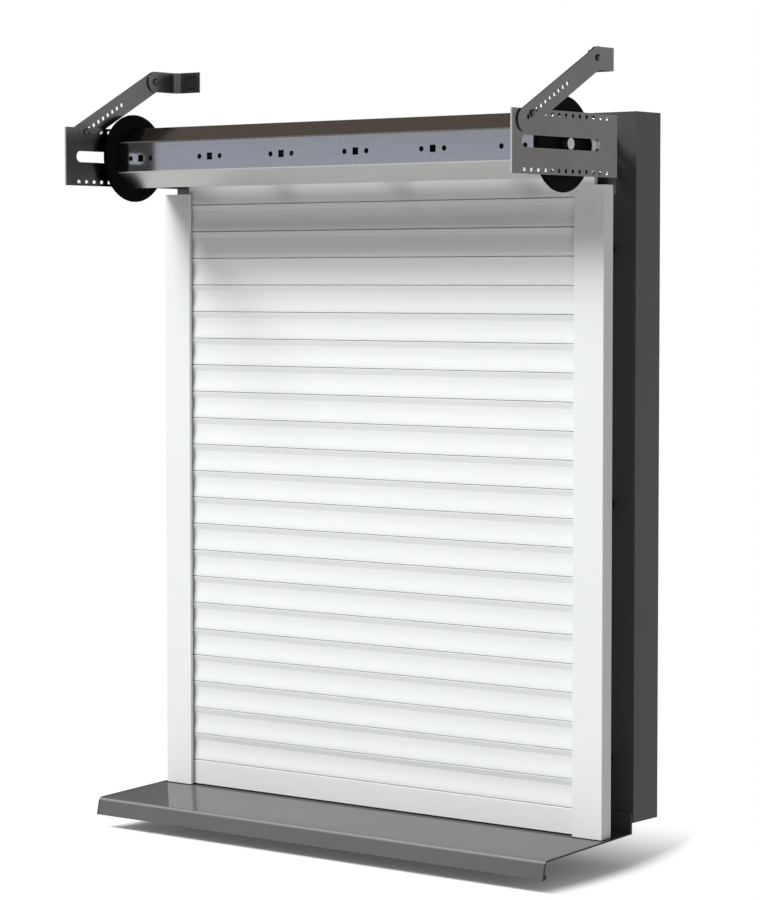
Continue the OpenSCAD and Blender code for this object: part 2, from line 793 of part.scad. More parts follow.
// Foot on the inner side of an arm: round-ended leg, bend and drilled leg along the wall
module foot(side) {
    r = foot_h / 2;
    out_x = plate_out_x;
    end_x = out_x - foot_leg;
    color(steel)
    on_side(side) {
        along_x(out_x - foot_t, foot_t)
        difference() {
            union() {
                translate([rivet_y, rivet_z]) circle(r = r);
                translate([rivet_y, rivet_z - r]) square([foot_back - foot_bend, foot_h]);
            }
            translate([rivet_y, rivet_z]) circle(d = rivet_d);
        }
        difference() {
            translate([0, 0, rivet_z - r]) linear_extrude(foot_h) {
                translate([out_x - foot_bend, foot_back_y - foot_bend])
                    bend(foot_bend - foot_t / 2, 0, 90, foot_t);
                translate([end_x, foot_back_y - foot_t]) square([foot_leg - foot_bend, foot_t]);
            }
            for (x = [0, foot_hole_x], z = [-1, 1])
                translate([end_x + foot_edge + x, 0, rivet_z + z * foot_hole_z / 2])
                rod_y(foot_back_y - foot_t - over, foot_t + 2 * over, foot_hole);
        }
    }
}

// Rivet fixed in the foot, on which the arm's upper end turns
module foot_rivet(side) {
    color(zinc)
    on_side(side)
    translate([0, rivet_y, rivet_z]) {
        rod_x(plate_out_x - foot_t - head_rise, foot_t + 2 * arm_gap + arm_t + 2 * head_rise, rivet_d);
        rod_x(plate_out_x - foot_t - head_rise, head_rise, rivet_d + 2 * head_over);
        rod_x(arm_in_x + arm_t + arm_gap, head_rise, rivet_d + head_over);
    }
}

// Hexagonal tube with a punched front flat
module winding_tube() {
    color(zinc)
    translate([0, axis_y, axis_z])
    difference() {
        along_x(-tube_end_x, 2 * tube_end_x) difference() {
            hexagon(tube_flats, tube_round);
            hexagon(bore_flats, bore_round);
        }
        for (i = [0:punch_count - 1])
            translate([punch_shift + (i - (punch_count - 1) / 2) * punch_pitch, 0, -punch_drop]) {
                translate([-punch_square / 2, -tube_flats, -punch_square / 2])
                    cube([punch_square, tube_flats, punch_square]);
                for (x = [-punch_side, punch_side]) translate([x, 0, 0])
                    rod_y(-tube_flats, tube_flats, punch_round);
            }
    }
}

// Flange disc with a rounded rim, a hexagonal seat for the tube and a central bore
module flange_disc(side, bore) {
    r = disc_d / 2;
    color(black)
    on_side(side)
    translate([0, axis_y, axis_z])
    difference() {
        translate([disc_in_x, 0, 0]) rotate([0, 90, 0]) rotate_extrude($fn = 96) difference() {
            union() {
                square([r - disc_round, disc_t]);
                translate([0, disc_round]) square([r, disc_t - 2 * disc_round]);
                for (z = [disc_round, disc_t - disc_round]) translate([r - disc_round, z]) circle(r = disc_round);
            }
            translate([-r, 0]) square([r, disc_t]);
        }
        along_x(disc_in_x - over, tube_seat + over) hexagon(tube_flats + 2 * plug_clear, tube_round);
        rod_x(disc_in_x, disc_t + over, bore);
    }
}

// Hexagonal plug in the tube with a round bore
module hex_plug(x0, length, bore) {
    difference() {
        along_x(x0, length) hexagon(bore_flats - 2 * plug_clear, bore_round);
        rod_x(x0 - over, length + 2 * over, bore);
    }
}

module tube_end_cap() {
    color(black)
    translate([0, axis_y, axis_z]) hex_plug(disc_in_x - cap_len, cap_len, pin_d + 2 * run_clear);
}

// Fixed pin in the right-hand slot that carries the idle end
module axle_pin() {
    color(steel)
    translate([0, axis_y, axis_z]) rod_x(disc_in_x - cap_len, plate_out_x - disc_in_x + cap_len, pin_d);
}

// Motor tube that stays still inside the winding tube, bored for the output shaft
module motor_body() {
    color([0.8, 0.8, 0.82])
    translate([0, axis_y, axis_z]) difference() {
        rod_x(motor_left_x, motor_len, motor_d);
        rod_x(motor_right_x - shaft_len - over, shaft_len + 2 * over, shaft_d + 2 * run_clear);
    }
}

// Motor head: neck through the disc, flange in front of the plate and stub in its slot
module motor_head() {
    flange_t = disc_gap - 2 * over;
    color(black)
    translate([0, axis_y, axis_z]) {
        rod_x(-plate_out_x, plate_out_x + motor_left_x, pin_d);
        rod_x(-disc_out_x - over - flange_t, flange_t, motor_flange);
        rod_x(-disc_out_x - over, disc_out_x + over + motor_left_x, motor_neck);
    }
}

// Ring that carries the tube on the motor body
module motor_crown() {
    color(black)
    translate([0, axis_y, axis_z]) hex_plug(crown_left_x, crown_len, motor_d + 2 * run_clear);
}

// Wheel on the output shaft that turns the tube
module drive_wheel() {
    color(black)
    translate([0, axis_y, axis_z]) {
        along_x(wheel_left_x, crown_len) hexagon(bore_flats - 2 * plug_clear, bore_round);
        rod_x(motor_right_x - shaft_len, shaft_len + motor_gap, shaft_d);
    }
}

function strap_x(k) = (k - (strap_count - 1) / 2) * strap_pitch;

// Clips on the tube's upper rear flat
module hanger_clips() {
    color(steel)
    for (k = [0:strap_count - 1])
        translate([0, axis_y, axis_z])
        along_x(strap_x(k) - strap_w / 2, strap_w)
        rotate(-30)
        translate([-hanger_w / 2, tube_flats / 2]) square([hanger_w, hanger_t]);
}

// Spring straps: a loop round the top slat's bead, then up and forward onto the clips
module hanger_straps() {
    tip_u = tube_flats / 2 + hanger_t;
    edge_y = axis_y + tip_u * sin(30) + hanger_w / 2 * cos(30);
    edge_z = axis_z + tip_u * cos(30) - hanger_w / 2 * sin(30);
    hook_y = nose_y + bead_depth;
    hook_z = curtain_top_z + bead_rise;
    run_z = edge_z + seat + strap_t / 2 * (1 + tan(30));
    loop_r = socket_r + strap_t / 2;
    turn_r = run_z - hook_z - loop_r + strap_t / 2;
    corner_y = hook_y - turn_r;
    color(steel)
    for (k = [0:strap_count - 1])
        along_x(strap_x(k) - strap_w / 2, strap_w) {
            translate([hook_y, hook_z]) difference() {
                circle(r = socket_r + strap_t);
                circle(r = socket_r);
                translate([-mouth_w / 2, -socket_r - strap_t - over]) square([mouth_w, socket_r + strap_t + over]);
            }
            translate([corner_y, hook_z + loop_r - strap_t / 2]) bend(turn_r, 0, 90, strap_t);
            sheet([corner_y, run_z], [edge_y, run_z], strap_t);
        }
}

jamb(-1);  // left_jamb
jamb(1);  // right_jamb
frame_head();
frame_bottom();
sill();
sill_cover();
guide_rail(-1);  // left_guide_rail
guide_rail(1);  // right_guide_rail
rail_brushes();
rail_sleeves();
fixing_screws();
bracket_plate(-1);  // left_bracket_plate
bracket_plate(1);  // right_bracket_plate
bracket_sleeves();
arm(-1);  // left_arm
arm(1);  // right_arm
arm_bolt(-1);  // left_arm_bolt
arm_bolt(1);  // right_arm_bolt
foot(-1);  // left_foot
foot(1);  // right_foot
foot_rivet(-1);  // left_foot_rivet
foot_rivet(1);  // right_foot_rivet
winding_tube();
flange_disc(-1, motor_neck + 2 * bore_clear);  // left_flange_disc
flange_disc(1, pin_d + 2 * bore_clear);  // right_flange_disc
tube_end_cap();
axle_pin();
motor_body();
motor_head();
motor_crown();
drive_wheel();
hanger_clips();
hanger_straps();
bottom_bar();
bottom_seal();
slat_end_clips();
for (i = [1:slat_count])
    slat(i);
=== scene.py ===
import json
import bpy
import bmesh
from mathutils import Matrix, Vector


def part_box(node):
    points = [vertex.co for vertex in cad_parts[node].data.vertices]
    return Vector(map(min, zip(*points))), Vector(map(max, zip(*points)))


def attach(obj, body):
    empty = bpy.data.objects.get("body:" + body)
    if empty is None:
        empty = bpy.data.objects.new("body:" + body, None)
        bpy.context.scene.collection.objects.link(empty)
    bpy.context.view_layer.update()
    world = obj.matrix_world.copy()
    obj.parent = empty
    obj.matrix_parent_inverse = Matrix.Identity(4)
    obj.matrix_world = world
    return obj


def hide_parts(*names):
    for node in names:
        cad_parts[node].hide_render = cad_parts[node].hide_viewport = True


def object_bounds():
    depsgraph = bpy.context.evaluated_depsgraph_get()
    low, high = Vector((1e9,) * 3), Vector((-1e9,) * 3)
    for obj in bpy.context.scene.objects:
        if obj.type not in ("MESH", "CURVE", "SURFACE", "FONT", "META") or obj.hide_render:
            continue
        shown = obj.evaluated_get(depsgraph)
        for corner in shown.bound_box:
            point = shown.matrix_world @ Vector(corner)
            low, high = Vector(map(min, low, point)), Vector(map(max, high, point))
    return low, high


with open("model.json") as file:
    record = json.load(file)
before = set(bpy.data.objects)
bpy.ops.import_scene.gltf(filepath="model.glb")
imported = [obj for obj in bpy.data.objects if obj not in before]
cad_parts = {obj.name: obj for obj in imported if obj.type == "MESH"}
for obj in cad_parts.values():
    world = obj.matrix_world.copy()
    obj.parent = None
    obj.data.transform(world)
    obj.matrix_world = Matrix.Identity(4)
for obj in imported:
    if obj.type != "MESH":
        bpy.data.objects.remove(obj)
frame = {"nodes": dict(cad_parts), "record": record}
cad_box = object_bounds()
nodes = frame["nodes"]
scene = bpy.context.scene
scene.view_settings.view_transform = "Standard"

# The view: a long lens at the height of the upper slats, well to the right of the
# shutter, so that its right-hand end and the jamb behind it show.
EYE = Vector((2.50141, -3.27122, 0.67001))
LOOK = Vector((-0.61827, 0.78398, -0.05585))
ACROSS = Vector((0.78521, 0.61923, -0.00022))
LENS, SENSOR, SIGHT_END = 121.17, 36.0, 60.0
camera = bpy.data.objects.new("camera", bpy.data.cameras.new("camera"))
camera.data.lens, camera.data.sensor_width, camera.data.clip_end = LENS, SENSOR, SIGHT_END
camera.matrix_world = Matrix((ACROSS, ACROSS.cross(LOOK), -LOOK)).transposed().to_4x4()
camera.matrix_world.translation = EYE
scene.collection.objects.link(camera)
scene.camera = camera


# The studio's air: white wherever the camera or a mirror looks into it, and only a
# faint even light for everything else, so that the shadows stay deep.
class Val:
    """A shader socket that can be used in sums and products."""

    def __init__(self, board, socket):
        self.board, self.socket = board, socket

    def math(self, operation, *values):
        return self.board.node("ShaderNodeMath", {"operation": operation},
                               dict(enumerate(values)))

    def __add__(self, other):
        return self.math("ADD", self, other)

    def __radd__(self, other):
        return self.math("ADD", other, self)

    def __sub__(self, other):
        return self.math("SUBTRACT", self, other)

    def __rsub__(self, other):
        return self.math("SUBTRACT", other, self)

    def __mul__(self, other):
        return self.math("MULTIPLY", self, other)

    def __rmul__(self, other):
        return self.math("MULTIPLY", other, self)

    def __neg__(self):
        return self.math("SUBTRACT", 0.0, self)

    def __abs__(self):
        return self.math("ABSOLUTE", self)

    def clamp(self):
        return self.board.node("ShaderNodeClamp", {}, {0: self})

    def above(self, edge, soft):
        """0 below the edge, 1 above it, over a soft band on both sides of it."""
        return self.board.node("ShaderNodeMapRange", {"interpolation_type": "SMOOTHSTEP"},
                               {0: self, 1: edge - soft, 2: edge + soft, 3: 0.0, 4: 1.0})


class Board:
    """A node tree that is filled by expressions."""

    def __init__(self, tree):
        self.tree = tree

    def node(self, kind, settings=None, sockets=None, out=0):
        made = self.tree.nodes.new(kind)
        for key, value in (settings or {}).items():
            setattr(made, key, value)
        for key, value in (sockets or {}).items():
            self.put(made.inputs[key], value)
        return Val(self, made.outputs[out]) if len(made.outputs) else None

    def put(self, socket, value):
        if isinstance(value, Val):
            self.tree.links.new(value.socket, socket)
        elif isinstance(value, tuple) and len(value) == 3 and socket.type == "RGBA":
            socket.default_value = (*value, 1.0)
        else:
            socket.default_value = value

    def mix(self, factor, first, second):
        return self.node("ShaderNodeMix", {"data_type": "RGBA"},
                         {0: factor, 6: first, 7: second}, out=2)

    def axis(self, source, name):
        """One axis of a point's place (source Object) or of the way it faces (source Normal)."""
        vector = self.node("ShaderNodeTexCoord", out=source)
        return self.node("ShaderNodeSeparateXYZ", {}, {0: vector}, out=name)


def plain_sight(board):
    """1 for what the camera, a mirror or a pane sees, 0 for the light that falls on things."""
    camera_ray, mirror_ray, clear_ray, bounces = [
        board.node("ShaderNodeLightPath", out=name)
        for name in ("Is Camera Ray", "Is Glossy Ray", "Is Transmission Ray", "Diffuse Depth")]
    return (camera_ray + mirror_ray + clear_ray - bounces).clamp()


WHITE = (1.0, 1.0, 1.0)
AIR_TONE, AIR_LEVEL = (0.98, 1.0, 0.99), 0.06
scene.world = bpy.data.worlds.new("studio_air")
scene.world.use_nodes = True
air = Board(scene.world.node_tree)
air.tree.nodes.clear()
air.node("ShaderNodeOutputWorld", {}, {0: air.node("ShaderNodeMixShader", {}, {
    0: plain_sight(air),
    1: air.node("ShaderNodeBackground", {}, {0: AIR_TONE, 1: AIR_LEVEL}),
    2: air.node("ShaderNodeBackground", {}, {0: WHITE, 1: 1.0})})})

# The lamps: a wide soft key lamp high at the front left, which gives the light and the
# shadows, and a weak fill lamp at the front right, which lifts the dark frame.
MIDDLE = Vector((0.0, -0.15, 0.42))
KEY_WAY, KEY_REACH = Vector((-0.362, -0.5625, 0.743)), 12.0
KEY_SIZE, KEY_POWER = (6.5, 3.9), 1870.0
FILL_PLACE, FILL_SIZE, FILL_POWER = (4.9, -3.6, 1.0), (3.0, 3.0), 40.0


def lamp(name, place, size, power):
    """A rectangular lamp that is turned to the middle of the shutter."""
    light = bpy.data.lights.new(name, "AREA")
    light.shape, light.size, light.size_y = "RECTANGLE", size[0], size[1]
    light.energy, light.color = power, WHITE
    holder = bpy.data.objects.new(name, light)
    holder.matrix_world = (Vector(place) - MIDDLE).to_track_quat("Z", "Y").to_matrix().to_4x4()
    holder.matrix_world.translation = place
    scene.collection.objects.link(holder)
    return holder


lamp("key_lamp", MIDDLE + KEY_REACH * KEY_WAY, KEY_SIZE, KEY_POWER)
fill_lamp = lamp("fill_lamp", FILL_PLACE, FILL_SIZE, FILL_POWER)
fill_lamp.visible_glossy = False


# The floor: a white sweep a little below the sill. It keeps the shutter's shadow in an
# oval round it and behind it, and is plain white everywhere else.
def studio_sheet(name, place, size, facing, paint_name):
    """A flat sheet of the studio, its face turned along facing, with an empty material board."""
    mesh = bpy.data.meshes.new(name)
    bm = bmesh.new()
    turn = Vector(facing).to_track_quat("Z", "Y").to_matrix().to_4x4()
    bmesh.ops.create_grid(bm, x_segments=1, y_segments=1, size=0.5)
    bmesh.ops.scale(bm, vec=(size[0], size[1], 1.0), verts=bm.verts)
    bmesh.ops.transform(bm, matrix=Matrix.Translation(place) @ turn, verts=bm.verts)
    bm.to_mesh(mesh)
    bm.free()
    sheet = bpy.data.objects.new(name, mesh)
    scene.collection.objects.link(sheet)
    material = bpy.data.materials.new(paint_name)
    material.use_nodes = True
    mesh.materials.append(material)
    board = Board(material.node_tree)
    board.tree.nodes.clear()
    return sheet, board


FLOOR_DROP, FLOOR_SIZE = 0.018, (30, 30)
FLOOR_TONE, FLOOR_BOUNCE, FLOOR_GLOW = (0.9, 0.9, 0.9), (0.6, 0.6, 0.6), 0.54
SHADE_LEAST, SHADE_SOFT, SHADE_REACH = 0.06, 0.42, 0.5
OVAL_WIDE, OVAL_DEEP, OVAL_RIM = 0.394, 0.566, (0.965, 0.055)
BEHIND_FADE = (0.13, 0.13)
_, sweep = studio_sheet("studio_floor", (0, 0, cad_box[0][2] - FLOOR_DROP), FLOOR_SIZE,
                        (0, 0, 1), "floor_paint")
sight = plain_sight(sweep)
# For the camera the floor near the shutter glows by how open it is to the air round it: a
# painted soft shadow under and beside the shutter.
open_air = sweep.node("ShaderNodeAmbientOcclusion", {}, {"Distance": SHADE_REACH}, out="AO")
shade = sight * (SHADE_LEAST + SHADE_SOFT * open_air)
shaded_floor = sweep.node("ShaderNodeAddShader", {}, {
    0: sweep.node("ShaderNodeBsdfDiffuse", {}, {0: sweep.mix(sight, FLOOR_BOUNCE, FLOOR_TONE)}),
    1: sweep.node("ShaderNodeEmission", {}, {0: WHITE, 1: shade})})
glow = FLOOR_GLOW + (1.0 - FLOOR_GLOW) * sight
white_floor = sweep.node("ShaderNodeEmission", {}, {0: WHITE, 1: glow})
deep = sweep.axis("Object", "Y")
wide_part = sweep.axis("Object", "X") * (1.0 / OVAL_WIDE)
deep_part = (deep - (cad_box[0][1] + cad_box[1][1]) / 2) * (1.0 / OVAL_DEEP)
oval = wide_part * wide_part + deep_part * deep_part
outside = oval.math("SQRT", oval).above(*OVAL_RIM)
away = outside.math("MAXIMUM", outside, deep.above(*BEHIND_FADE))
sweep.node("ShaderNodeOutputMaterial", {}, {
    0: sweep.node("ShaderNodeMixShader", {}, {0: away, 1: shaded_floor, 2: white_floor})})

# The flags: plain cards round the shutter that only bare metal and gloss reflect. They
# give the tube, the plates and the arms their tones.
for name, place, size, facing, tone in (
        ("front_flag", (-4.4, -5.8, 0.55), (10.0, 1.5), (0.6, 0.8, 0.0), (0.56, 0.59, 0.7)),
        ("front_top_flag", (-4.4, -5.8, 2.1), (10.0, 1.6), (0.6, 0.8, 0.0), (0.2, 0.2, 0.21)),
        ("slope_flag", (-2.97, -3.76, 4.6), (7.0, 4.6), (0.494, 0.627, -0.6), (0.2, 0.19, 0.2)),
        ("right_flag", (5.2, -6.0, 1.0), (12.0, 3.2), (-0.65, 0.76, 0.0), (0.46, 0.47, 0.53)),
        ("back_flag", (-4.0, 4.9, 1.3), (5.0, 2.6), (0.6, -0.8, 0.0), (0.05, 0.05, 0.05)),
        ("top_flag", (0.0, 1.4, 4.0), (11.0, 6.0), (0.0, 0.0, -1.0), (0.13, 0.105, 0.086))):
    flag, card = studio_sheet(name, place, size, facing, name + "_card")
    card.node("ShaderNodeOutputMaterial", {}, {
        0: card.node("ShaderNodeEmission", {}, {0: tone, 1: 1.0})})
    flag.visible_camera = flag.visible_transmission = False
    flag.visible_diffuse = flag.visible_shadow = False


# Rear frame: two jambs, a head plate and a bottom rail, aluminium sections with a dark
# grey powder coat, screwed to the wall. The jambs' edges are rolled a little, as on all
# such sections, so they catch a fine line of light.
class Finish(Board):
    """A material round one Principled shader."""

    def __init__(self, name):
        self.material = bpy.data.materials.new(name)
        self.material.use_nodes = True
        super().__init__(self.material.node_tree)
        self.skin = self.tree.nodes["Principled BSDF"]
        self.place = self.node("ShaderNodeTexCoord", out="Object")

    def noise(self, scale, detail=2.0, rough=0.5, stretch=(1.0, 1.0, 1.0)):
        place = self.node("ShaderNodeMapping", {}, {"Vector": self.place, "Scale": stretch})
        return self.node("ShaderNodeTexNoise", {}, {
            "Vector": place, "Scale": scale, "Detail": detail, "Roughness": rough})

    def set(self, **sockets):
        for key, value in sockets.items():
            self.put(self.skin.inputs[key.replace("_", " ")], value)

    def bump(self, height, depth):
        self.set(Normal=self.node("ShaderNodeBump", {}, {
            "Strength": 1.0, "Distance": depth, "Height": height}))

    def on(self, *names):
        for name in names:
            slots = nodes[name].data.materials
            slots.clear()
            slots.append(self.material)


FRAME_TONES = (0.058, 0.057, 0.054), (0.066, 0.065, 0.062)
frame_paint = Finish("dark_frame_paint")
grain = frame_paint.noise(scale=900.0)
cloud = frame_paint.noise(scale=6.0, detail=3.0)
frame_paint.set(Base_Color=frame_paint.mix(cloud, *FRAME_TONES),
                Roughness=0.42 + 0.1 * grain, Specular_IOR_Level=0.35)
frame_paint.bump(grain, depth=0.00004)
frame_paint.on("frame_head", "frame_bottom", "sill_cover")

ROLLED_STEPS, ROLLED_ANGLE = 2, 0.7
WELD_REACH, FLAT_ANGLE, SHARP_ANGLE = 1e-6, 0.01, 0.5
body_of = {node: body for body, held in frame["record"]["behaviour"]["bodies"].items()
           for node in held}


def roll_edges(piece, width):
    """A bevel that rolls the sharp edges of a piece."""
    rolled = piece.modifiers.new("rolled_edges", "BEVEL")
    rolled.width, rolled.segments, rolled.profile = width, ROLLED_STEPS, 0.5
    rolled.limit_method, rolled.angle_limit = "ANGLE", ROLLED_ANGLE
    return rolled


def softened(node, finish, width, name):
    """A copy of a sharp-edged CAD node with rolled edges, in the node's place."""
    mesh = nodes[node].data.copy()
    mesh.name = name
    bm = bmesh.new()
    bm.from_mesh(mesh)
    bmesh.ops.remove_doubles(bm, verts=bm.verts, dist=WELD_REACH)
    bmesh.ops.dissolve_limit(bm, angle_limit=FLAT_ANGLE, verts=bm.verts, edges=bm.edges)
    for face in bm.faces:
        face.smooth = True
    for edge in bm.edges:
        edge.smooth = edge.calc_face_angle(0.0) < SHARP_ANGLE
    bm.to_mesh(mesh)
    bm.free()
    piece = bpy.data.objects.new(name, mesh)
    scene.collection.objects.link(piece)
    mesh.materials.clear()
    mesh.materials.append(finish.material)
    roll_edges(piece, width).harden_normals = True
    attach(piece, body_of[node])
    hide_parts(node)


JAMB_EDGE = 0.0006
SIDES = ("left", -1.0), ("right", 1.0)
for side, _ in SIDES:
    softened(side + "_jamb", frame_paint, JAMB_EDGE, side + "_jamb_section")

# Sill: one aluminium sheet folded to an upstand, a sloping top and a front lip. The
# upstand is fixed to the bottom rail. Its paint is a glossy grey, with a painted highlight
# along the front bend.
SILL_TONES, BEND_HIGHLIGHT_TONE = ((0.122, 0.121, 0.119), (0.134, 0.133, 0.131)), (0.3, 0.298, 0.29)
BEND_Y, BEND_Z, BEND_HALF, BEND_HIGHLIGHT_SHARE = -0.2480, -0.0470, 0.0011, 0.85
sill_paint = Finish("sill_paint")
cloud = sill_paint.noise(scale=9.0, detail=3.0)
peel = sill_paint.noise(scale=260.0, detail=1.0)
# Painted highlight: a lighter line along the front bend, mixed into the paint's colour.
off_bend = abs(sill_paint.axis("Object", "Y") - BEND_Y).above(BEND_HALF, soft=0.0008)
bend = (1.0 - off_bend) * sill_paint.axis("Object", "Z").above(BEND_Z, soft=0.001)
coat = sill_paint.mix(cloud, *SILL_TONES)
sill_paint.set(Base_Color=sill_paint.mix(BEND_HIGHLIGHT_SHARE * bend, coat, BEND_HIGHLIGHT_TONE),
               Roughness=0.07 + 0.05 * cloud, Specular_IOR_Level=0.07)
sill_paint.bump(peel, depth=0.00001)
sill_paint.on("sill")

# Sill end trims: dark plastic edging, bent from strip and pushed over the two cut ends
# of the sill, from the wall side to the bottom of the lip.
TRIM_TONES = (0.02, 0.02, 0.019), (0.034, 0.033, 0.032)
TRIM_IN, TRIM_OUT, TRIM_THICK, TRIM_EDGE = 0.3753, 0.3768, 0.0015, 0.0002
TRIM_ROUTE = ((-0.0600, -0.0352), (-0.2430, -0.0426), (-0.2472, -0.0438), (-0.2498, -0.0472),
              (-0.2535, -0.0666))
trim_plastic = Finish("trim_plastic")
grain = trim_plastic.noise(scale=1200.0)
trim_plastic.set(Base_Color=trim_plastic.mix(grain, *TRIM_TONES), Roughness=0.45 + 0.2 * grain,
                 Specular_IOR_Level=0.2)
trim_plastic.bump(grain, depth=0.00004)


def fitted(name, bm, finish, body, edge=0.0):
    """An object from a finished bmesh that rides on a body, its edges rolled where asked."""
    mesh = bpy.data.meshes.new(name)
    bm.to_mesh(mesh)
    bm.free()
    piece = bpy.data.objects.new(name, mesh)
    scene.collection.objects.link(piece)
    mesh.materials.append(finish.material)
    if edge:
        roll_edges(piece, edge)
    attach(piece, body)


for side, way in SIDES:
    bm = bmesh.new()
    run = [bm.verts.new((way * TRIM_IN, y, z)) for y, z in TRIM_ROUTE]
    drawn = bmesh.ops.extrude_edge_only(
        bm, edges=[bm.edges.new(pair) for pair in zip(run, run[1:])])
    bmesh.ops.translate(bm, vec=(way * (TRIM_OUT - TRIM_IN), 0.0, 0.0),
                        verts=[v for v in drawn["geom"] if isinstance(v, bmesh.types.BMVert)])
    bmesh.ops.recalc_face_normals(bm, faces=bm.faces)
    if sum(face.normal.z for face in bm.faces) < 0.0:
        bmesh.ops.reverse_faces(bm, faces=bm.faces)
    bmesh.ops.solidify(bm, geom=list(bm.faces), thickness=TRIM_THICK)
    bmesh.ops.recalc_face_normals(bm, faces=bm.faces)
    fitted(side + "_sill_trim", bm, trim_plastic, "base", TRIM_EDGE)

# Guide rails: two aluminium extrusions with a white satin paint, each with a groove for
# the curtain. They stand on the sill in front of the jambs.
WHITE_TONES = (0.82, 0.845, 0.82), (0.85, 0.875, 0.85)
rail_paint = Finish("white_rail_paint")
peel = rail_paint.noise(scale=700.0, detail=1.0)
cloud = rail_paint.noise(scale=5.0, detail=3.0)
rail_paint.set(Base_Color=rail_paint.mix(cloud, *WHITE_TONES), Roughness=0.34 + 0.08 * peel)
rail_paint.bump(peel, depth=0.00003)
rail_paint.on("left_guide_rail", "right_guide_rail")

# Rail fixings: black moulded sleeves that hold the rails and the brackets off the frame,
# and zinc-plated steel screws. Each goes through the back wall of a rail or the tab of a
# bracket and its sleeve into the jamb.
BLACK_TONES = (0.003, 0.003, 0.003), (0.006, 0.006, 0.006)
ZINC_TONES = (0.3, 0.3, 0.28), (0.42, 0.42, 0.4)
black_plastic = Finish("black_plastic")
grain = black_plastic.noise(scale=1500.0)
black_plastic.set(Base_Color=black_plastic.mix(grain, *BLACK_TONES),
                  Roughness=0.45 + 0.2 * grain, Specular_IOR_Level=0.03)
black_plastic.bump(grain, depth=0.00004)
black_plastic.on("rail_sleeves", "bracket_sleeves")

zinc = Finish("zinc_plate")
fleck = zinc.noise(scale=500.0, detail=3.0)
zinc.set(Base_Color=zinc.mix(fleck, *ZINC_TONES), Metallic=1.0, Roughness=0.22 + 0.14 * fleck)
zinc.on("fixing_screws")

# Rail seats: thin plates of black plastic under the lower ends of the rails. They lie on
# the sill and keep the rails off its paint.
SEAT_LOW, SEAT_HIGH, SEAT_EDGE = (0.3240, -0.1172, -0.0388), (0.3708, -0.0945, -0.0371), 0.0003


def rounded_plate(way, low, high, edge):
    """A bmesh plate between two corners, on the side that way gives, with rolled edges."""
    middle = [(a + b) / 2 for a, b in zip(low, high)]
    bm = bmesh.new()
    bmesh.ops.create_cube(bm, size=1.0)
    bmesh.ops.scale(bm, vec=[b - a for a, b in zip(low, high)], verts=bm.verts)
    bmesh.ops.translate(bm, vec=(way * middle[0], *middle[1:]), verts=bm.verts)
    bmesh.ops.bevel(bm, geom=bm.edges[:], offset=edge, affect="EDGES", segments=ROLLED_STEPS,
                    profile=0.5, material=-1)
    return bm


for side, way in SIDES:
    seat = rounded_plate(way, SEAT_LOW, SEAT_HIGH, SEAT_EDGE)
    fitted(side + "_rail_seat", seat, black_plastic, "base")

# Rail brushes: strips of dense dark pile held in the rail lips. The pile fills the gap
# between lip and slats, so the curtain runs quietly; the dark strips at the front of the
# gap are also painted shade for the lip's shadow on the slats.
PILE_TONES = (0.006, 0.006, 0.006), (0.025, 0.024, 0.023)
SHADE_PILE_LOW, SHADE_PILE_HIGH, SHADE_PILE_EDGE = (0.3249, -0.1143, -0.030), (0.3290, -0.1111, 0.786), 0.0008
dark_pile = Finish("brush_pile")
fibre = dark_pile.noise(scale=1400.0, rough=0.6, stretch=(1.0, 1.0, 0.25))
dark_pile.set(Base_Color=dark_pile.mix(fibre, *PILE_TONES), Roughness=0.95,
              Specular_IOR_Level=0.05)
dark_pile.bump(fibre, depth=0.0006)
dark_pile.on("rail_brushes")
# The two front strips are dark pile put in the gap: painted shade for the lip's shadow.
for side, way in SIDES:
    pile = rounded_plate(way, SHADE_PILE_LOW, SHADE_PILE_HIGH, SHADE_PILE_EDGE)
    fitted(side + "_front_shade_pile", pile, dark_pile, "base")

# Bracket plates: punched steel plates with a long slot, a row of holes above and below
# it and a tab bent in at the back. The steel is bare and rolled along its length; the front
# edges of the plates, away from the tab, are painted near white as a painted highlight.
STEEL_TONES, EDGE_SHEEN_TONE = ((0.114, 0.111, 0.107), (0.154, 0.15, 0.144)), (0.95, 0.95, 0.98)
STEEL_EDGE, TAB_Y, EDGE_SHEEN_FACING = 0.0003, -0.094, 0.75
bracket_steel = Finish("bracket_steel")
roll = bracket_steel.noise(scale=120.0, detail=4.0, rough=0.6, stretch=(1.0, 0.12, 1.0))
cloud = bracket_steel.noise(scale=14.0, detail=3.0)
off_tab = 1.0 - bracket_steel.axis("Object", "Y").above(TAB_Y, soft=0.002)
# Painted highlight: the front-facing edges, away from the tab, are mixed towards near white.
edge_sheen = (-bracket_steel.axis("Normal", "Y")).above(EDGE_SHEEN_FACING, soft=0.2) * off_tab
rolled_face = bracket_steel.mix(cloud, *STEEL_TONES)
bracket_steel.set(Base_Color=bracket_steel.mix(edge_sheen, rolled_face, EDGE_SHEEN_TONE), Metallic=1.0,
                  Roughness=0.2 + 0.12 * roll)
bracket_steel.bump(roll, depth=0.00002)
for side, _ in SIDES:
    softened(side + "_bracket_plate", bracket_steel, STEEL_EDGE, side + "_punched_plate")

# Slot stops: small galvanised steel plates, cut from sheet and spot-welded behind the inner
# end of each bracket's slot.
STOP_LOW, STOP_HIGH, STOP_EDGE = (0.3664, -0.1405, 0.8245), (0.3686, -0.1170, 0.8515), 0.0006
STOP_TONES = (0.2, 0.2, 0.19), (0.5, 0.5, 0.48)
galvanised = Finish("galvanised_plate")
spangle = galvanised.noise(scale=900.0, detail=4.0, rough=0.7)
galvanised.set(Base_Color=galvanised.mix(spangle, *STOP_TONES), Metallic=1.0,
               Roughness=0.3 + 0.2 * spangle)
galvanised.bump(spangle, depth=0.0002)
for side, way in SIDES:
    stop = rounded_plate(way, STOP_LOW, STOP_HIGH, STOP_EDGE)
    fitted(side + "_slot_stop", stop, galvanised, "base")

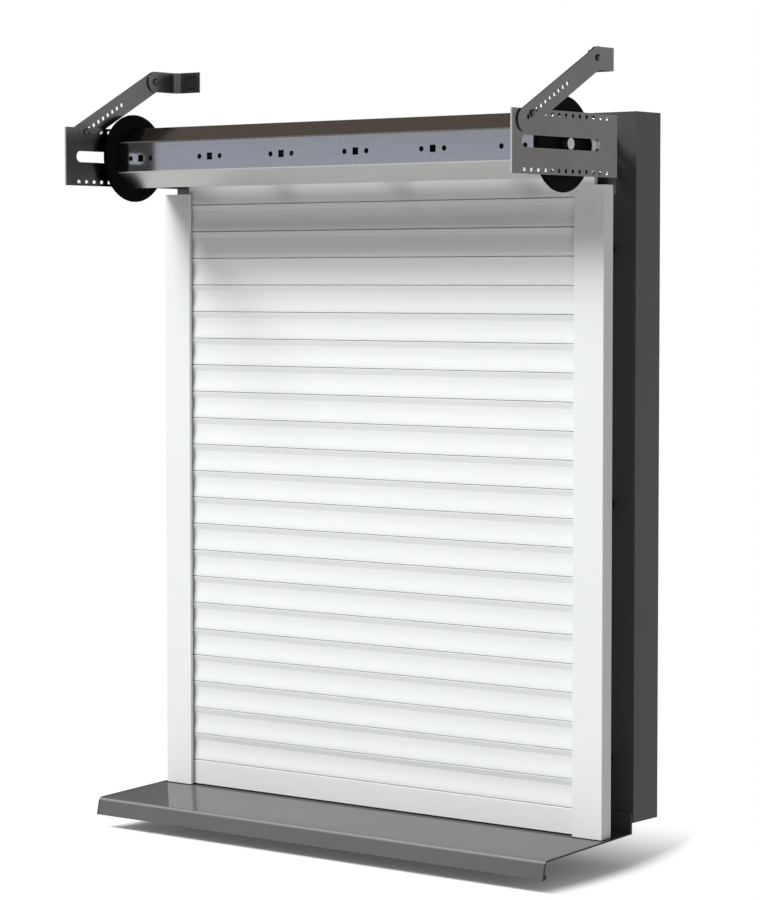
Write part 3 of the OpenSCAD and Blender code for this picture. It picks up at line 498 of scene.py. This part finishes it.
# Arms and feet: flat punched steel arms that swing on a bolt in the plate, and feet bent
# from strip that tilt on a rivet at the arm's end and are screwed to the wall.
arm_steel = Finish("arm_steel")
roll = arm_steel.noise(scale=120.0, detail=4.0, rough=0.6, stretch=(1.0, 0.3, 0.3))
cloud = arm_steel.noise(scale=14.0, detail=3.0)
arm_steel.set(Base_Color=arm_steel.mix(cloud, *STEEL_TONES), Metallic=1.0,
              Roughness=0.22 + 0.12 * roll)
arm_steel.bump(roll, depth=0.00002)
for side, _ in SIDES:
    softened(side + "_arm", arm_steel, STEEL_EDGE, side + "_punched_arm")
    softened(side + "_foot", arm_steel, STEEL_EDGE, side + "_bent_foot")

# Foot pads: thin black rubber, cut from sheet, between each foot and the wall. The wall
# screws go through them and they tilt with the foot.
PAD_LOW, PAD_HIGH, PAD_EDGE = (0.3290, -0.0892, 0.9345), (0.3540, -0.0877, 0.9577), 0.0004
RUBBER_TONES = (0.006, 0.006, 0.006), (0.014, 0.014, 0.014)
rubber = Finish("black_rubber")
grain = rubber.noise(scale=1100.0)
rubber.set(Base_Color=rubber.mix(grain, *RUBBER_TONES), Roughness=0.8 + 0.1 * grain,
           Specular_IOR_Level=0.2)
rubber.bump(grain, depth=0.00005)
for side, way in SIDES:
    pad = rounded_plate(way, PAD_LOW, PAD_HIGH, PAD_EDGE)
    fitted(side + "_foot_pad", pad, rubber, side + "_foot")

# Bolts and rivets: zinc-plated steel, the bolts that the arms swing on and the rivets
# that the feet tilt on. Each has a low domed head on both faces.
DARK_ZINC_TONES = (0.07, 0.07, 0.068), (0.12, 0.12, 0.115)
DOMES = ("arm_bolt", 0.0045, 0.0024), ("foot_rivet", 0.0043, 0.0020)
DOME_ROUND, DOME_RINGS, FLAT_FACING = 24, 12, 0.999
dark_zinc = Finish("dark_zinc")
fleck = dark_zinc.noise(scale=700.0, detail=3.0)
dark_zinc.set(Base_Color=dark_zinc.mix(fleck, *DARK_ZINC_TONES), Metallic=1.0,
              Roughness=0.12 + 0.1 * fleck)
dark_zinc.on("left_arm_bolt", "right_arm_bolt", "left_foot_rivet", "right_foot_rivet")
for kind, radius, rise in DOMES:
    for side, _ in SIDES:
        pin = side + "_" + kind
        low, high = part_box(pin)
        for end, x, way in (("inner", low[0], -1.0), ("outer", high[0], 1.0)):
            bm = bmesh.new()
            bmesh.ops.create_uvsphere(bm, u_segments=DOME_ROUND, v_segments=DOME_RINGS,
                                      radius=radius)
            bmesh.ops.bisect_plane(bm, geom=bm.verts[:] + bm.edges[:] + bm.faces[:],
                                   plane_co=(0.0, 0.0, 0.0), plane_no=(way, 0.0, 0.0),
                                   clear_inner=True)
            bmesh.ops.holes_fill(bm, edges=[e for e in bm.edges if e.is_boundary], sides=0)
            bmesh.ops.scale(bm, vec=(rise / radius, 1.0, 1.0), verts=bm.verts)
            bmesh.ops.translate(bm, vec=(x, (low[1] + high[1]) / 2, (low[2] + high[2]) / 2),
                                verts=bm.verts)
            bmesh.ops.recalc_face_normals(bm, faces=bm.faces)
            for face in bm.faces:
                face.smooth = abs(face.normal.x) < FLAT_FACING
            fitted("_".join((pin, end, "dome")), bm, dark_zinc, body_of[pin])

# Winding tube: a hexagonal tube folded from galvanised steel and punched in groups along
# its faces. The zinc is smooth enough to mirror the plates, with a fine spangle all over;
# the bent corners and the lower front face are rougher. Painted shade: the upper corners,
# the lower back face and the inside are painted dark, and the lower front face a little darker.
TUBE_Y, TUBE_Z, TUBE_FACES = -0.190941, 0.8379, 6.0
ZINC_FACE_TONES = (0.34, 0.338, 0.334), (0.7, 0.696, 0.686)
CORNER_SHADE_TONE, BACK_SHADE_TONE, INSIDE_SHADE_TONE = (0.04, 0.04, 0.039), (0.06, 0.06, 0.06), (0.01, 0.01, 0.01)
STREAK_SHARE, SPANGLE_SHARE, UNDER_SHADE_DIM = 0.35, 0.65, 0.3
CORNER_BAND, UPPER_BAND, INSIDE_BAND = (-0.55, 0.35), (0.0, 0.1), (0.0, 0.004)
SLANT_BAND, DOWN_BAND = (0.3, 0.1), (0.6, 0.1)
tube_steel = Finish("galvanised_tube")
streak = tube_steel.noise(scale=260.0, detail=4.0, rough=0.6, stretch=(0.06, 1.0, 1.0))
spangle = tube_steel.noise(scale=430.0, detail=4.0, rough=0.75)
back, up = tube_steel.axis("Normal", "Y"), tube_steel.axis("Normal", "Z")
from_axis_y = tube_steel.axis("Object", "Y") - TUBE_Y
from_axis_z = tube_steel.axis("Object", "Z") - TUBE_Z
turn = TUBE_FACES * back.math("ARCTAN2", back, up)
corner = turn.math("COSINE", turn).above(*CORNER_BAND)
inside = 1.0 - (back * from_axis_y + up * from_axis_z).above(*INSIDE_BAND)
under_front = (-back).above(*SLANT_BAND) * (-up).above(*DOWN_BAND)
under_back = back.above(*SLANT_BAND) * (-up).above(*SLANT_BAND)
# Painted shade: the grey of the lower front face is turned down.
grey = (STREAK_SHARE * streak + SPANGLE_SHARE * spangle) * (1.0 - UNDER_SHADE_DIM * under_front)
skin = tube_steel.mix(grey, *ZINC_FACE_TONES)
# Painted shade: the upper corners are mixed to a near-black tone that holds back their
# highlight.
skin = tube_steel.mix(corner * up.above(*UPPER_BAND), skin, CORNER_SHADE_TONE)
# Painted shade: the lower back face, turned to the curtain, is dark so that it bounces little
# light onto it.
skin = tube_steel.mix(under_back, skin, BACK_SHADE_TONE)
# Painted shade: the inside of the tube is near black.
tube_steel.set(Base_Color=tube_steel.mix(inside, skin, INSIDE_SHADE_TONE), Metallic=1.0,
               Roughness=0.1 + 0.05 * streak + 0.3 * corner + 0.2 * under_front)
tube_steel.on("winding_tube")

# Hanger clips and straps: steel clips on a flat of the tube, and spring steel straps that
# loop round the bead of the top slat and lie on the clips, so the curtain hangs on the tube.
SPRING_TONES = (0.2, 0.2, 0.205), (0.28, 0.28, 0.29)
spring_steel = Finish("spring_steel")
roll = spring_steel.noise(scale=300.0, detail=3.0, rough=0.6, stretch=(0.1, 1.0, 1.0))
spring_steel.set(Base_Color=spring_steel.mix(roll, *SPRING_TONES), Metallic=1.0,
                 Roughness=0.25 + 0.15 * roll)
spring_steel.on("hanger_clips", "hanger_straps")

# Tube ends: black moulded flange discs that keep the curtain between them, the end cap
# pushed into the right end of the tube, and the zinc-plated pin that it turns on.
RIM_SHADE_TONE, FACE_TONE, FACE_BAND = (0.0015, 0.0015, 0.0015), (0.006, 0.006, 0.006), (0.9, 0.08)
flange = Finish("flange_plastic")
grain = flange.noise(scale=1500.0)
# Painted shade: the discs' rims are darker than their flat faces.
face_on = abs(flange.axis("Normal", "X")).above(*FACE_BAND)
flange.set(Base_Color=flange.mix(face_on, RIM_SHADE_TONE, FACE_TONE), Roughness=0.5 + 0.15 * grain,
           Specular_IOR_Level=0.02)
flange.bump(grain, depth=0.00004)
flange.on("left_flange_disc", "right_flange_disc")
black_plastic.on("tube_end_cap")
zinc.on("axle_pin")

# Tubular motor: a drawn metal tube in the left end of the winding tube, its black moulded
# head held by the left plate, and the crown and drive wheel that turn the tube.
# The motor tube is painted very dark: painted shade where it shows through the winding tube's
# holes.
MOTOR_SHADE_TONES = (0.045, 0.045, 0.047), (0.07, 0.07, 0.073)
motor_metal = Finish("motor_tube")
drawn = motor_metal.noise(scale=400.0, detail=3.0, rough=0.6, stretch=(0.05, 1.0, 1.0))
motor_metal.set(Base_Color=motor_metal.mix(drawn, *MOTOR_SHADE_TONES), Metallic=1.0,
                Roughness=0.28 + 0.12 * drawn)
motor_metal.on("motor_body")
black_plastic.on("motor_head", "motor_crown", "drive_wheel")

# Slats: hollow sections rolled from thin aluminium with a white satin paint. Each hooks
# by the bead along its top into the socket of the slat above.
slat_paint = Finish("white_slat_paint")
peel = slat_paint.noise(scale=700.0, detail=1.0)
cloud = slat_paint.noise(scale=5.0, detail=3.0)
slat_paint.set(Base_Color=slat_paint.mix(cloud, *WHITE_TONES), Roughness=0.34 + 0.08 * peel)
slat_paint.bump(peel, depth=0.00002)
slat_paint.on(*[name for name in nodes if name.startswith("slat_") and name[5:].isdigit()])

# Slat end clips: white moulded plastic, pushed into the ends of every other slat, so that
# the slats can't slide out of each other sideways.
CLIP_TONES = (0.79, 0.81, 0.79), (0.83, 0.85, 0.83)
clip_plastic = Finish("white_clip_plastic")
grain = clip_plastic.noise(scale=1200.0)
clip_plastic.set(Base_Color=clip_plastic.mix(grain, *CLIP_TONES), Roughness=0.45 + 0.1 * grain)
clip_plastic.bump(grain, depth=0.00003)
clip_plastic.on("slat_end_clips")

# Bottom bar: an extruded aluminium bar with a white satin paint that hooks under the last
# slat, and the black rubber seal pushed into its groove, which meets the sill.
# The bar's white is a little darker than that of the rails and slats.
BAR_TONES = (0.78, 0.8, 0.78), (0.81, 0.83, 0.81)
bar_paint = Finish("white_bar_paint")
peel = bar_paint.noise(scale=700.0, detail=1.0)
cloud = bar_paint.noise(scale=5.0, detail=3.0)
bar_paint.set(Base_Color=bar_paint.mix(cloud, *BAR_TONES), Roughness=0.36 + 0.08 * peel)
bar_paint.bump(peel, depth=0.00002)
bar_paint.on("bottom_bar")
rubber.on("bottom_seal")
